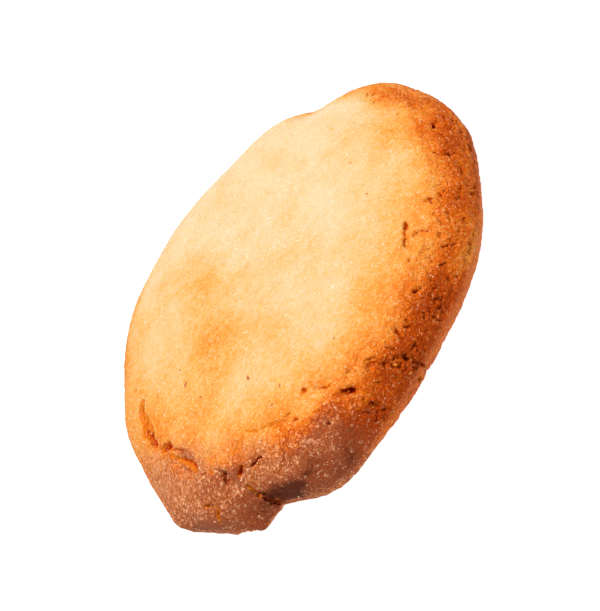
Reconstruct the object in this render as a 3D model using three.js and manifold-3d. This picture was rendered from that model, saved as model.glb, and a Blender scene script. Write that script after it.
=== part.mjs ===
// A round, hand-dropped shortbread biscuit: a low domed cake of baked dough with a flat
// underside, a shallow dish in its crown, a cracked rim and a crumbly, craggy front wall.
// Millimetres, +Z up. The origin is on the underside, in the middle of the biscuit's box.

import * as THREE from 'three';
import { mergeVertices } from 'three/addons/utils/BufferGeometryUtils.js';
import { ImprovedNoise } from 'three/addons/math/ImprovedNoise.js';
import Module from 'manifold-3d';

const wasm = await Module();
wasm.setup();

// ---- driving sizes ---------------------------------------------------------------------

const HALF_LENGTH = 38.6; // of the oval that the swells are added to, along X
const HALF_WIDTH = 36.1; // the same along Y
const THICKNESS = 12.3;
const GIRTH_LEVEL = 0.26; // height of the widest girth, as a share of the thickness
const SHOULDER_POWER = 5; // 2 is a round shoulder, more is a squarer one
const BASE_TUCK = 0.035; // how far the wall draws in below the girth, as a share of the radius

const DISH = { x: 3, y: 2, spread: 15, depth: 1.8 };

// What the dough did round the rim: at an angle, fading over a spread, both in degrees.
const SWELLS = [
  { at: 22, spread: 13, by: 1.6 },
  { at: 38, spread: 6, by: -1.2 },
  { at: 52, spread: 10, by: 1.2 },
  { at: 90, spread: 20, by: 0.2 },
  { at: 120, spread: 20, by: 0.6 },
  { at: 148, spread: 18, by: -2.0 },
  { at: 174, spread: 12, by: -1.7 },
  { at: 197, spread: 5, by: 1.5 },
  { at: 206, spread: 6, by: 1.1 },
  { at: 215, spread: 7, by: 1.8 },
  { at: 228, spread: 5, by: -0.6 },
  { at: 243, spread: 10, by: 2.6 },
  { at: 262, spread: 10, by: 0.6 },
  { at: 288, spread: 26, by: -1.4 },
  { at: 328, spread: 16, by: -1.7 },
];
const RISES = [
  { at: 235, spread: 40, by: 1.2 },
  { at: 20, spread: 30, by: -0.9 },
  { at: 170, spread: 30, by: -0.7 },
  { at: 190, spread: 12, by: -1.1 },
  { at: 50, spread: 12, by: 0.8 },
  { at: 90, spread: 40, by: 0.4 },
];
const SHOULDER_CHANGES = [
  { at: 10, spread: 40, by: -1.5 },
  { at: 240, spread: 40, by: 1.0 },
  { at: 165, spread: 25, by: -0.6 },
  { at: 190, spread: 15, by: -1.0 },
];

// The lobe that broke away outside the rim crack sits a little lower than the crown.
const LOBE = { at: 196, spread: 26, inner: 0.76, outer: 0.84, drop: 0.7 };

// Slow unevenness of the whole crust. Above this place down the section it lifts the crown,
// and below it, it swells the wall.
const UNEVEN = { height: 0.28, wavelength: 9 };
const CROWN_ENDS = 0.8;

// Mesh of the body.
const SEGMENTS = 92;
const CROWN_RINGS = 24;
const WALL_RINGS = 4;
const BASE_RINGS = 2;
const RING_CROWDING = 1.7; // over 1 draws the crown's rings towards the shoulder
const SMALLEST_EDGE = 0.03; // shorter ones, left where two cuts nearly meet, are closed up
const WELD = 1e-3; // corners nearer than this are one corner

// Places on the crust are [angle, down]: the angle round the biscuit from +X in degrees, and
// down the section from 0 at the crown's middle, through 1 at the girth, to 2 at the base.
const CRACK_STEP = 1; // along a crack, between two sections of its cutter
const CRACK_WANDER = 0.9; // how far it strays to either side, as a share of its width
const CRACK_VARIES = 0.8; // how much its width and depth change along it, as a share
const CRACK_RHYTHM = 0.5; // how often both change, in turns to a millimetre
const CRACKS = [
  // the long crack between the crown and the lobe
  { line: [[163, 0.37], [168, 0.43], [176, 0.48], [184, 0.48], [189, 0.46]], width: 1.0, depth: 0.9 },
  { line: [[187, 0.46], [192, 0.4], [196, 0.38], [202, 0.38]], width: 1.0, depth: 0.8 },
  { line: [[190, 0.47], [198, 0.41], [202, 0.44], [207, 0.46], [213, 0.48]], width: 1.4, depth: 1.1 },
  { line: [[211, 0.49], [215, 0.45], [219, 0.52], [222, 0.67], [224, 0.83]], width: 1.2, depth: 1.1 },
  // the fold where the front wall overlaps the lobe, down to the base
  { line: [[222, 0.7], [224, 0.83], [226, 1.1], [226, 1.8], [227, 2.1]], width: 1.5, depth: 2.2 },
  { line: [[209, 0.75], [213, 0.7], [216, 0.82]], width: 0.9, depth: 0.6 },
  { line: [[225, 0.61], [229, 0.6], [233, 0.55]], width: 0.8, depth: 0.9 },
  // the crack along the front of the crown, which steps down into the crumbly wall
  { line: [[231, 0.35], [237, 0.37], [242, 0.38], [246, 0.37], [249, 0.35]], width: 0.9, depth: 0.6 },
  { line: [[249, 0.36], [251, 0.34], [254, 0.38]], width: 0.9, depth: 0.7 },
  { line: [[252, 0.38], [256, 0.42], [258, 0.46], [259, 0.53]], width: 1.4, depth: 0.9 },
  { line: [[257, 0.53], [259, 0.6], [261, 0.65], [262, 0.72]], width: 1.3, depth: 1.1 },
  { line: [[270, 0.47], [266, 0.54], [262, 0.53], [259, 0.58]], width: 0.9, depth: 0.8 },
  { line: [[266, 0.53], [268, 0.61], [270, 0.66], [271, 0.78]], width: 1.2, depth: 1.2 },
  { line: [[270, 0.72], [273, 0.81], [274, 0.9], [275, 1.3], [275, 2.1]], width: 1.8, depth: 2.4 },
  // cracks round the blocks of broken dough below it
  { line: [[262, 0.68], [265, 0.78], [264, 0.87]], width: 0.8, depth: 0.9 },
  { line: [[258, 0.74], [261, 0.84], [262, 0.97], [263, 1.3]], width: 0.9, depth: 1.0 },
  { line: [[256, 0.78], [259, 0.87], [260, 0.98]], width: 0.8, depth: 0.7 },
  // short cracks on the right of the crown and in the wall below it
  { line: [[311, 0.38], [306, 0.43], [301, 0.46], [297, 0.37]], width: 1.0, depth: 1.1 },
  { line: [[302, 0.45], [305, 0.52], [306, 0.6]], width: 0.8, depth: 0.7 },
  { line: [[333, 0.59], [332, 0.7], [331, 0.84]], width: 0.9, depth: 0.9 },
  { line: [[323, 0.82], [320, 0.93], [320, 1.1]], width: 0.8, depth: 0.8 },
  { line: [[8, 0.72], [2, 0.73], [-3, 0.65]], width: 0.8, depth: 0.7 },
  { line: [[291, 0.68], [289, 0.75], [291, 0.88]], width: 0.8, depth: 0.7 },
];

// Lumps of broken dough that stand on the crust, and chips that are missing from it. Each
// patch scatters them about a place, as far as its reach either way.
const BROKEN_SEED = 41;
const LUMPS = [
  { at: [266, 0.84], reach: [8, 0.3], count: 22, size: [0.9, 1.9] },
  { at: [272, 0.66], reach: [6, 0.12], count: 6, size: [0.8, 1.4] },
  { at: [199, 0.43], reach: [8, 0.03], count: 7, size: [0.6, 1.1] },
  { at: [327, 0.68], reach: [15, 0.18], count: 12, size: [0.9, 1.7] },
  { at: [217, 1.3], reach: [5, 0.35], count: 6, size: [0.8, 1.4] },
];
const CHIPS = [
  { at: [258, 0.5], reach: [1, 0.04], count: 2, size: [1.0, 1.5] },
  { at: [270, 0.74], reach: [1, 0.04], count: 3, size: [1.2, 1.9] },
  { at: [224, 0.59], reach: [1, 0.03], count: 1, size: [0.9, 1.2] },
  { at: [230, 0.9], reach: [3, 0.1], count: 2, size: [1.2, 1.8] },
  { at: [265, 0.86], reach: [9, 0.3], count: 10, size: [0.8, 1.5] },
  { at: [330, 0.66], reach: [14, 0.16], count: 8, size: [0.7, 1.2] },
  { at: [350, 0.36], reach: [3, 0.02], count: 2, size: [0.6, 0.9] },
];
const LUMP_THICKNESS = 0.55; // of its breadth
const LUMP_SUNK = 0.1; // how deep a lump's middle lies, as a share of its size
const CHIP_SUNK = -0.05;

// ---- form ------------------------------------------------------------------------------

const noise = new ImprovedNoise();
const degrees = THREE.MathUtils.degToRad;

// A smooth hump over an angle, 1 at its middle.
function hump(angle, { at, spread }) {
  const away = THREE.MathUtils.euclideanModulo(angle - at + 180, 360) - 180;
  return Math.exp(-((away / spread) ** 2));
}

function sumOfHumps(humps, angle) {
  return humps.reduce((sum, each) => sum + each.by * hump(angle, each), 0);
}

function radiusAt(angle) {
  const along = HALF_WIDTH * Math.cos(degrees(angle));
  const across = HALF_LENGTH * Math.sin(degrees(angle));
  return (HALF_LENGTH * HALF_WIDTH) / Math.hypot(along, across) + sumOfHumps(SWELLS, angle);
}

// The section at an angle: reach from the axis and height, both as shares, for a place
// down it. 0 to 1 is the crown, 1 to 2 the wall below the girth, 2 to 3 the underside.
function sectionAt(angle, down) {
  if (down <= 1) {
    const turn = (down * Math.PI) / 2;
    const power = SHOULDER_POWER + sumOfHumps(SHOULDER_CHANGES, angle);
    const height = GIRTH_LEVEL + (1 - GIRTH_LEVEL) * Math.cos(turn);
    return { reach: Math.sin(turn) ** (2 / power), height };
  }
  if (down <= 2) {
    const turn = ((down - 1) * Math.PI) / 2;
    return { reach: 1 - BASE_TUCK * (1 - Math.cos(turn)), height: GIRTH_LEVEL * (1 - Math.sin(turn)) };
  }
  return { reach: (1 - BASE_TUCK) * (3 - down), height: 0 };
}

// The crust's point at an angle and a place down the section.
function crustPoint(angle, down) {
  const { reach, height } = sectionAt(angle, down);
  const outward = new THREE.Vector3(Math.cos(degrees(angle)), Math.sin(degrees(angle)), 0);
  const point = outward.clone().multiplyScalar(reach * radiusAt(angle));
  if (down >= 2) {
    return point;
  }
  point.z = height * (THICKNESS + reach ** 2 * sumOfHumps(RISES, angle));
  const { x, y, z } = point.clone().divideScalar(UNEVEN.wavelength);
  const uneven = UNEVEN.height * noise.noise(x, y, z);
  const fromDish = Math.hypot(point.x - DISH.x, point.y - DISH.y) / DISH.spread;
  const dropped = THREE.MathUtils.smoothstep(reach, LOBE.inner, LOBE.outer) * hump(angle, LOBE);
  const top = 1 - THREE.MathUtils.smoothstep(down, CROWN_ENDS, 1);
  point.z += top * (uneven - DISH.depth * Math.exp(-(fromDish ** 2)) - LOBE.drop * dropped);
  point.addScaledVector(outward, ((1 - top) * uneven * height) / GIRTH_LEVEL);
  return point;
}

// The crust's outward direction there, from points a short step round it and down it.
function crustNormal(angle, down) {
  const step = { angle: 1, down: 0.02 };
  const place = Math.min(down, 2 - 2 * step.down);
  const here = crustPoint(angle, place);
  const round = crustPoint(angle + step.angle, place).sub(here);
  const lower = crustPoint(angle, place + step.down).sub(here);
  return lower.cross(round).normalize();
}

function lengthOf(points) {
  return points.slice(1).reduce((sum, point, i) => sum + point.distanceTo(points[i]), 0);
}

// The plain body: a section revolved about the axis, each of its points then moved to the
// crust's own place at that angle.
function bodyGeometry() {
  const downs = [];
  for (let ring = 0; ring < CROWN_RINGS; ring += 1) {
    downs.push((ring / CROWN_RINGS) ** RING_CROWDING);
  }
  for (let ring = 0; ring < WALL_RINGS; ring += 1) {
    downs.push(1 + ring / WALL_RINGS);
  }
  for (let ring = 0; ring <= BASE_RINGS; ring += 1) {
    downs.push(2 + ring / BASE_RINGS);
  }
  const profile = downs.map((down) => {
    const { reach, height } = sectionAt(0, down);
    return new THREE.Vector2(reach * HALF_LENGTH, height * THICKNESS);
  });
  const geometry = new THREE.LatheGeometry(profile.reverse(), SEGMENTS);
  downs.reverse();
  const place = geometry.attributes.position;
  const uv = geometry.attributes.uv;
  for (let i = 0; i < place.count; i += 1) {
    const angle = 360 * (uv.getX(i) % 1);
    const down = downs[Math.round(uv.getY(i) * (downs.length - 1))];
    const point = crustPoint(angle, down);
    place.setXYZ(i, point.x, point.y, point.z);
  }
  return geometry;
}

// ---- solids ----------------------------------------------------------------------------

// A closed geometry as a solid: shared corners merged, and triangles that have shrunk to
// nothing at a pole or a tip left out.
function toSolid(geometry) {
  const bare = new THREE.BufferGeometry();
  bare.setAttribute('position', geometry.attributes.position);
  bare.setIndex(geometry.index);
  const merged = mergeVertices(bare, WELD);
  const corners = merged.index.array;
  const kept = [];
  for (let i = 0; i < corners.length; i += 3) {
    const [a, b, c] = corners.slice(i, i + 3);
    if (a !== b && b !== c && c !== a) {
      kept.push(a, b, c);
    }
  }
  return new wasm.Manifold(
    new wasm.Mesh({
      numProp: 3,
      vertProperties: new Float32Array(merged.attributes.position.array),
      triVerts: new Uint32Array(kept),
    }),
  );
}

function toGeometry(solid) {
  const mesh = solid.getMesh();
  const geometry = new THREE.BufferGeometry();
  geometry.setAttribute('position', new THREE.BufferAttribute(mesh.vertProperties, 3));
  geometry.setIndex(new THREE.BufferAttribute(mesh.triVerts, 1));
  geometry.computeVertexNormals();
  return geometry;
}

// A crack is cut by a four-sided spindle that lies along the crust: its two side corners
// set the crack's width, and its lower one the depth.
function crackCutter({ line, width, depth }, number) {
  const route = new THREE.SplineCurve(line.map((place) => new THREE.Vector2(...place)));
  const onCrust = (along) => {
    const { x: angle, y: down } = route.getPoint(THREE.MathUtils.clamp(along, 0, 1));
    return { point: crustPoint(angle, down), normal: crustNormal(angle, down) };
  };
  const length = lengthOf(route.getPoints(4 * line.length).map(({ x, y }) => crustPoint(x, y)));
  const sections = Math.ceil(length / CRACK_STEP);
  const spindle = new THREE.SphereGeometry(1, 4, sections);
  const place = spindle.attributes.position;
  const uv = spindle.attributes.uv;
  for (let i = 0; i < place.count; i += 1) {
    const along = 1 - uv.getY(i);
    const { point, normal } = onCrust(along);
    const ahead = onCrust(along + 0.5 / sections).point;
    const tangent = ahead.sub(onCrust(along - 0.5 / sections).point);
    const side = normal.clone().cross(tangent).normalize();
    const beat = along * length * CRACK_RHYTHM;
    const wander = CRACK_WANDER * width * noise.noise(beat, number, 0.5);
    const open = 1 + CRACK_VARIES * noise.noise(beat, number, 2.5);
    point.addScaledVector(side, wander + place.getX(i) * 0.5 * width * open);
    point.addScaledVector(normal, place.getZ(i) * depth * open);
    place.setXYZ(i, point.x, point.y, point.z);
  }
  return toSolid(spindle);
}

// An angular stone of dough that lies flat on the crust, for a lump or for a missing chip.
function stone([angle, down], size, sunk) {
  const random = THREE.MathUtils.seededRandom;
  const shape = new THREE.IcosahedronGeometry(0.5, 0);
  shape.rotateX(random() * Math.PI);
  shape.scale(1, 0.65 + 0.35 * random(), LUMP_THICKNESS * (0.8 + 0.4 * random()));
  shape.rotateX(0.5 * (random() - 0.5));
  shape.rotateZ(random() * Math.PI);
  shape.scale(size, size, size);
  const normal = crustNormal(angle, down);
  shape.applyQuaternion(new THREE.Quaternion().setFromUnitVectors(new THREE.Vector3(0, 0, 1), normal));
  const centre = crustPoint(angle, down).addScaledVector(normal, -sunk * size);
  shape.translate(centre.x, centre.y, centre.z);
  return toSolid(shape);
}

function scatterStones(patches, sunk) {
  const random = THREE.MathUtils.seededRandom;
  const stones = [];
  for (const { at, reach, count, size } of patches) {
    for (let i = 0; i < count; i += 1) {
      const angle = at[0] + (2 * random() - 1) * reach[0];
      const down = at[1] + (2 * random() - 1) * reach[1];
      stones.push(stone([angle, down], THREE.MathUtils.lerp(size[0], size[1], random()), sunk));
    }
  }
  return stones;
}

// Cracks and chips are cut out of the plain body and lumps joined to it. The largest piece is
// kept, so a scrap that a cut has freed goes.
function biscuitSolid() {
  THREE.MathUtils.seededRandom(BROKEN_SEED);
  const cuts = [...CRACKS.map(crackCutter), ...scatterStones(CHIPS, CHIP_SUNK)];
  const joins = scatterStones(LUMPS, LUMP_SUNK);
  let biscuit = toSolid(bodyGeometry());
  for (const cut of cuts) {
    biscuit = biscuit.subtract(cut);
  }
  for (const lump of joins) {
    biscuit = biscuit.add(lump);
  }
  const pieces = toSolid(toGeometry(biscuit.asOriginal().simplify(SMALLEST_EDGE))).decompose();
  return pieces.reduce((largest, piece) => (piece.volume() > largest.volume() ? piece : largest));
}

// ---- the part --------------------------------------------------------------------------

const crust = new THREE.MeshStandardMaterial({ color: 0xe9bd7f, roughness: 0.75, metalness: 0 });

const geometry = toGeometry(biscuitSolid());
geometry.computeBoundingBox();
const middle = geometry.boundingBox.getCenter(new THREE.Vector3());
geometry.translate(-middle.x, -middle.y, -geometry.boundingBox.min.z);

const biscuit = new THREE.Mesh(geometry, crust);
biscuit.name = 'biscuit';

const part = new THREE.Group();
part.add(biscuit);

export default part;
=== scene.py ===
"""A hand-dropped shortbread biscuit: its baked crust, cracks and crumbs, and its sugar.

Shapes are worked out in millimetres and turned into metres at the end. A place on the
crust is (bearing, down): degrees round the biscuit from +X, and down its section from 0 at
the crown's middle, through 1 at the girth, to 2 at the base's edge.
"""

import math

import bmesh
import bpy
import numpy as np
from mathutils import Matrix, Quaternion, Vector, noise
from mathutils.bvhtree import BVHTree
from mathutils.kdtree import KDTree


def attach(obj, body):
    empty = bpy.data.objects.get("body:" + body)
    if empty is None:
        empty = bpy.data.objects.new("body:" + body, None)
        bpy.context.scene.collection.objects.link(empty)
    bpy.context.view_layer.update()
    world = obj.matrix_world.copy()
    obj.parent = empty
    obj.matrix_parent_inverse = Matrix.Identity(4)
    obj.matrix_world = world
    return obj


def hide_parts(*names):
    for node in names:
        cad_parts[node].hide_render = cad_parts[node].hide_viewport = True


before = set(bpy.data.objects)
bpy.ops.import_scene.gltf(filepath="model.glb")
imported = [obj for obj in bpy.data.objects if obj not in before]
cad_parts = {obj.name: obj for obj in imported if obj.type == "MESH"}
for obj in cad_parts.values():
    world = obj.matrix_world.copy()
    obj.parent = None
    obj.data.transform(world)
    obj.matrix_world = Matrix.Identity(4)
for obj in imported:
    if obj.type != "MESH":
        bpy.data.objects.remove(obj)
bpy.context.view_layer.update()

bl_info = {
    "name": "Shortbread biscuit",
    "version": (1, 0, 0),
    "blender": (4, 5, 0),
    "location": "3D View > Sidebar > Shortbread",
    "description": "Builds a baked shortbread biscuit and a plain pale stage for it",
    "category": "Object",
}

MM = 0.001
NODE = "biscuit"
CRUST = "baked_crust"

# The plain section that places are told by: an oval crown over a short tucked-in wall.
RADIUS = 37.0
THICKNESS = 12.3
GIRTH = 0.26 * THICKNESS
SHOULDER_POWER = 5.0
BASE_TUCK = 0.035


# ---- places on the crust ---------------------------------------------------------------


def section(down):
    """Reach from the axis and height above the girth, of a place down the plain section."""
    if down <= 1:
        turn = down * math.pi / 2
        reach = math.sin(turn) ** (2 / SHOULDER_POWER)
        return reach * RADIUS, (THICKNESS - GIRTH) * math.cos(turn)
    turn = (down - 1) * math.pi / 2
    return RADIUS * (1 - BASE_TUCK * (1 - math.cos(turn))), -GIRTH * math.sin(turn)


class Places:
    """Turns places on a crust into points in millimetres, and points into places.

    The tree holds the crust's faces, and unit is a millimetre in it.
    """

    STEPS = 400

    def __init__(self, tree, unit):
        self.tree, self.unit = tree, unit
        downs = np.linspace(0.002, 2, self.STEPS)
        tilts = [math.atan2(height, reach) for reach, height in map(section, downs)]
        self.downs, self.tilts = downs, np.array(tilts)

    def point(self, bearing, down):
        """The crust's point at a place, and its outward direction there."""
        reach, height = section(down)
        turn = math.radians(bearing)
        ray = Vector((reach * math.cos(turn), reach * math.sin(turn), height)).normalized()
        hit, normal, _, _ = self.tree.ray_cast(Vector((0, 0, GIRTH)) * self.unit, ray)
        if hit is None:
            raise RuntimeError(f"no crust at bearing {bearing}, down {down}")
        return hit / self.unit, normal

    def of(self, points):
        """Bearings and downs of an array of points."""
        bearing = np.degrees(np.arctan2(points[:, 1], points[:, 0])) % 360
        tilt = np.arctan2(points[:, 2] - GIRTH, np.hypot(points[:, 0], points[:, 1]))
        return bearing, np.interp(-tilt, -self.tilts, self.downs)


def off(bearings, at):
    """Signed degrees from one bearing to others."""
    return (bearings - at + 180) % 360 - 180


def rise(values, low, high):
    """Smoothly from 0 at low to 1 at high."""
    share = np.clip((values - low) / (high - low), 0, 1)
    return share * share * (3 - 2 * share)


def field(points, wavelength, seed, octaves=1):
    """A smooth random value about -1 to 1 for each point."""
    moved = points / wavelength + np.array((7.31, 3.17, 11.93)) * seed
    if octaves == 1:
        return np.array([noise.noise(p) for p in moved.tolist()])
    return np.array([noise.fractal(p, 0.9, 2.1, octaves) for p in moved.tolist()])


# ---- the crust's mesh ------------------------------------------------------------------

# The cracks that baking left: (bearing, down) along each, its width and its depth.
# These open round the near-left rim and down the lobe.
RIM_CRACKS = (
    ([(222.8, 0.44), (224, 0.42), (225.5, 0.4), (226.1, 0.38), (227.5, 0.36), (228.1, 0.34)], 0.4, 0.2),
    ([(164.5, 0.41), (166.8, 0.46), (169.2, 0.5), (171.3, 0.53)], 1.3, 0.5),
    ([(171.3, 0.53), (174.8, 0.55), (177.5, 0.57), (179.5, 0.58)], 1.7, 0.7),
    ([(165.2, 0.39), (167.3, 0.41), (168.3, 0.47), (172.1, 0.45)], 1.2, 0.5),
    ([(172.1, 0.45), (174.7, 0.46), (177.8, 0.47), (180, 0.5), (179.7, 0.58), (183.1, 0.56)], 1.5, 0.7),
    ([(187.5, 0.55), (189.3, 0.5), (191.6, 0.45), (193.8, 0.46)], 1.2, 0.8),
    ([(193.2, 0.51), (196.6, 0.46), (196.6, 0.5)], 1.2, 0.6),
    ([(197.5, 0.47), (199.6, 0.46), (201.6, 0.45), (204.3, 0.45), (206.4, 0.45), (209, 0.47),
      (210.5, 0.48)], 1.0, 0.8),
    ([(214.7, 0.48), (216.3, 0.5)], 0.7, 0.6),
    ([(223.2, 0.59), (223.9, 0.57), (224.6, 0.54), (224.9, 0.51)], 0.7, 0.9),
    ([(228.2, 0.33), (230.8, 0.35), (233, 0.36), (234.2, 0.37)], 0.5, 0.25),
    ([(226.4, 0.66), (227.3, 0.63), (227.9, 0.61)], 0.35, 0.25),
    ([(210.6, 0.72), (212.5, 0.72), (214.3, 0.72), (214.7, 0.77), (214.1, 0.81), (213.2, 0.91)], 0.6, 0.5),
    ([(224.1, 0.69), (224.9, 0.73), (224.8, 0.79), (224.6, 0.86), (225.1, 0.9)], 0.8, 0.8),
)
# Hairlines beside them.
HAIRLINES = (
    ([(211, 0.49), (212.2, 0.5), (213.3, 0.49), (214.4, 0.48)], 0.4, 0.5),
    ([(215.2, 0.54), (216.6, 0.53), (217.2, 0.52)], 0.4, 0.4),
    ([(218, 0.54), (218.9, 0.56), (219.7, 0.59), (220.1, 0.6)], 0.5, 0.6),
    ([(226.3, 0.57), (227.8, 0.58), (229.4, 0.56), (230.8, 0.54), (232.2, 0.53)], 0.4, 0.6),
    ([(193.8, 0.46), (199.2, 0.4), (202.8, 0.39)], 0.4, 0.4),
)
# The dark crease of the fold.
FOLD_CRACKS = (
    ([(225.1, 0.9), (225.5, 0.95), (225.7, 1.03), (225.6, 1.26), (225.5, 1.54)], 0.7, 0.9),
)
# The edge of the skin above the front wall, and the crumbled corner.
FRONT_CRACKS = (
    ([(253.6, 0.38), (254.9, 0.41), (256.8, 0.43), (258.6, 0.45)], 0.9, 0.5),
    ([(257.8, 0.51), (258.8, 0.56), (259.7, 0.61), (260.4, 0.63)], 0.8, 0.7),
    ([(268.2, 0.46), (267.3, 0.48), (265.5, 0.49), (264.2, 0.49), (262.3, 0.49)], 0.45, 0.35),
    ([(267.4, 0.53), (268.2, 0.56), (269.4, 0.59), (270.2, 0.61)], 0.5, 0.5),
    ([(269.5, 0.67), (269.5, 0.71), (269.5, 0.74)], 0.7, 1),
    ([(271.1, 0.73), (272, 0.75), (272.9, 0.77), (272.9, 0.82)], 0.5, 0.8),
    ([(273.6, 0.87), (273.8, 0.92), (274.6, 0.91), (274.9, 0.96)], 0.7, 0.9),
    ([(274.7, 1.04), (274.6, 1.21), (274.9, 1.4)], 0.7, 0.6),
    ([(269, 0.84), (269.1, 0.91), (269.6, 0.96)], 0.4, 0.5),
    ([(263.6, 0.7), (263.8, 0.74), (264, 0.77)], 0.35, 0.4),
    ([(260.7, 0.7), (260, 0.75), (260.5, 0.79)], 0.4, 0.5),
    ([(261.7, 0.83), (260.6, 0.85), (260.5, 0.87)], 0.35, 0.4),
    ([(261.8, 1), (262.9, 1.02)], 0.4, 0.5),
    ([(258.5, 0.78), (258.2, 0.83)], 0.4, 0.4),
    ([(259.1, 0.92), (258.9, 0.96)], 0.4, 0.4),
    ([(264.7, 0.83), (264.6, 0.87)], 0.35, 0.4),
    ([(277.8, 0.64), (277.5, 0.69)], 0.35, 0.3),
    ([(278.9, 0.81), (278, 0.86), (277.6, 0.92)], 0.4, 0.4),
    ([(277.4, 0.96), (277.8, 1.1)], 0.45, 0.4),
    ([(233.9, 0.36), (236.9, 0.37), (239.9, 0.37), (241.9, 0.38), (245.8, 0.37)], 0.5, 0.25),
    ([(249.8, 0.35), (250.8, 0.34), (251.8, 0.36)], 0.7, 0.4),
)
# The crackled right side.
SIDE_CRACKS = (
    ([(11.3, 0.74), (9.2, 0.77)], 0.35, 0.3),
    ([(8.1, 0.77), (6, 0.76)], 0.35, 0.3),
    ([(5.2, 0.8), (2.5, 0.78)], 0.4, 0.4),
    ([(359.8, 0.7), (356.9, 0.66), (353.9, 0.66)], 0.4, 0.4),
    ([(347.5, 0.61), (345.9, 0.64)], 0.4, 0.3),
    ([(345.4, 0.69), (343.1, 0.68), (341.9, 0.72), (342.1, 0.75)], 0.6, 0.8),
    ([(342.3, 0.73), (342.9, 0.79), (342.3, 0.86)], 0.35, 0.4),
    ([(336.1, 0.72), (336.5, 0.75)], 0.45, 0.5),
    ([(338.4, 0.58), (337.2, 0.59)], 0.35, 0.3),
    ([(333, 0.6), (333.3, 0.64)], 0.4, 0.4),
    ([(332.6, 0.73), (331.8, 0.75), (332.3, 0.77), (332.4, 0.86)], 0.4, 0.5),
    ([(326.1, 0.71), (326.2, 0.75), (326.8, 0.79)], 0.4, 0.5),
    ([(328.1, 0.86), (328.3, 0.92)], 0.4, 0.5),
    ([(322.9, 0.61), (322.5, 0.65)], 0.5, 0.5),
    ([(323.4, 0.53), (321.8, 0.54)], 0.35, 0.3),
    ([(317, 0.55), (315.6, 0.55), (314.1, 0.57)], 0.5, 0.5),
    ([(321.8, 0.87), (322.9, 0.91)], 0.4, 0.4),
    ([(320.8, 0.95), (320.6, 0.98), (321, 1.13), (320.7, 1.24)], 0.35, 0.4),
    ([(309.2, 0.62), (308.8, 0.66), (308.5, 0.7)], 0.45, 0.5),
    ([(311.7, 0.89), (310.3, 0.92)], 0.35, 0.4),
    ([(309.6, 0.4), (307.6, 0.42), (305.3, 0.41), (303.4, 0.43), (301.5, 0.44), (300.6, 0.48)], 0.7, 0.3),
    ([(303.4, 0.46), (304.8, 0.49), (305.6, 0.51), (305.8, 0.56), (306.3, 0.58)], 0.45, 0.3),
    ([(297.8, 0.36), (298.9, 0.39), (299.4, 0.42)], 0.35, 0.3),
    ([(301.8, 0.69), (302.6, 0.74), (303.4, 0.79), (304.4, 0.84)], 0.45, 0.45),
    ([(298.6, 0.53), (300.1, 0.58), (301.2, 0.61)], 0.4, 0.25),
    ([(297.5, 0.47), (295.9, 0.5)], 0.6, 0.3),
    ([(316, 0.81), (316, 0.85)], 0.35, 0.4),
    ([(328.8, 0.78), (329.6, 0.8)], 0.35, 0.4),
    ([(288.4, 0.78), (289.6, 0.81)], 0.35, 0.4),
    ([(289.6, 0.67), (289.6, 0.73), (287.6, 0.72)], 0.4, 0.5),
    ([(290.6, 0.87), (288.6, 0.84)], 0.4, 0.5),
    ([(285.6, 0.77), (283.6, 0.83)], 0.4, 0.5),
    ([(285.6, 0.88), (285.6, 1.11)], 0.5, 0.5),
    ([(284.6, 0.57), (283.6, 0.64)], 0.4, 0.4),
    ([(281.6, 0.65), (280.6, 0.7)], 0.4, 0.4),
    ([(278.6, 0.61), (277.7, 0.69)], 0.4, 0.4),
    ([(277.7, 0.84), (277.7, 0.94)], 0.5, 0.5),
)
# Each group, with the shares of a crack's breadth that bare the crumb and that are painted shade,
# and what its depths are multiplied by.
CRACKS = (
    (RIM_CRACKS, 1.0, 0.16, 0.9),
    (HAIRLINES, 0.4, 0.6, 1.0),
    (FOLD_CRACKS, 0.1, 0.8, 1.0),
    (FRONT_CRACKS, 0.9, 0.3, 0.9),
    (SIDE_CRACKS, 0.6, 0.45, 1.3),
)

# How far apart a crack's samples are, how far they wander and by which seed, how far from
# them the crack is felt, and how ragged its lips are.
CRACK_STEP = 0.15
CRACK_WANDER = 0.22
WANDER_SEED = 7
CRACK_REACH = 0.9
CRACK_RAGGED = 0.2

# Where short stray cracks lie: from and to which bearing and down, and how many. Their
# shares are those of a group above.
STRAY_CRACKS = (
    ((286, 378), (0.58, 1.05), 110),
    ((255, 288), (0.55, 0.95), 34),
    ((20, 200), (0.65, 1.3), 50),
    ((226, 256), (0.45, 0.85), 8),
)
STRAY_SHARES = (0.1, 0.36, 1.0)
STRAY_BENDS = 3
STRAY_STEPS = (0.3, 0.8)
STRAY_WIDTHS = (0.35, 0.6)
STRAY_DEPTHS = (0.25, 0.55)

# How far a millimetre of the wall goes, as degrees of bearing and as down.
DEGREES_A_MM = 1.55
DOWNS_A_MM = 0.06

# Stretches of the wall: the bearing of each, and the degrees before and after it between
# which it fades in and out.
RIGHT_SIDE = (340, (-75, -45), (38, 60))
CRUMBLED_CORNER = (266, (-12, -6), (14, 26))
SMOOTH_FRONT = (228, (-45, -35), (20, 30))
DULL_LOBE = (225, (-40, -20), (22, 38))
# The ruddy base band is partly the smooth skin of the base, partly painted light from the floor.
RUDDY_AND_FLOOR_LIT_BASE = (290, (-45, -20), (30, 60))
FRONT = 240

# Soft dents and swellings of the wall: place, spread both ways, and how far out.
SWELLINGS = (
    ((220.5, 1.35), (2.6, 0.4), 1.3),
    ((328, 1.05), (16, 0.5), 0.35),
    ((292, 1.35), (14, 0.45), 0.5),
    ((16, 0.95), (14, 0.4), 0.3),
    ((250, 1.05), (5, 0.5), 0.5),
    ((243.5, 0.79), (1.6, 0.12), -0.6),
    ((253.5, 0.88), (2.6, 0.16), -0.6),
    ((238.5, 0.74), (3, 0.12), 0.3),
    ((248, 0.72), (2.4, 0.14), 0.3),
)

# Where rounding moves the solid between these distances, its own shape is kept more and more.
KEPT_SHARP = (0.08, 0.22)

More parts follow.
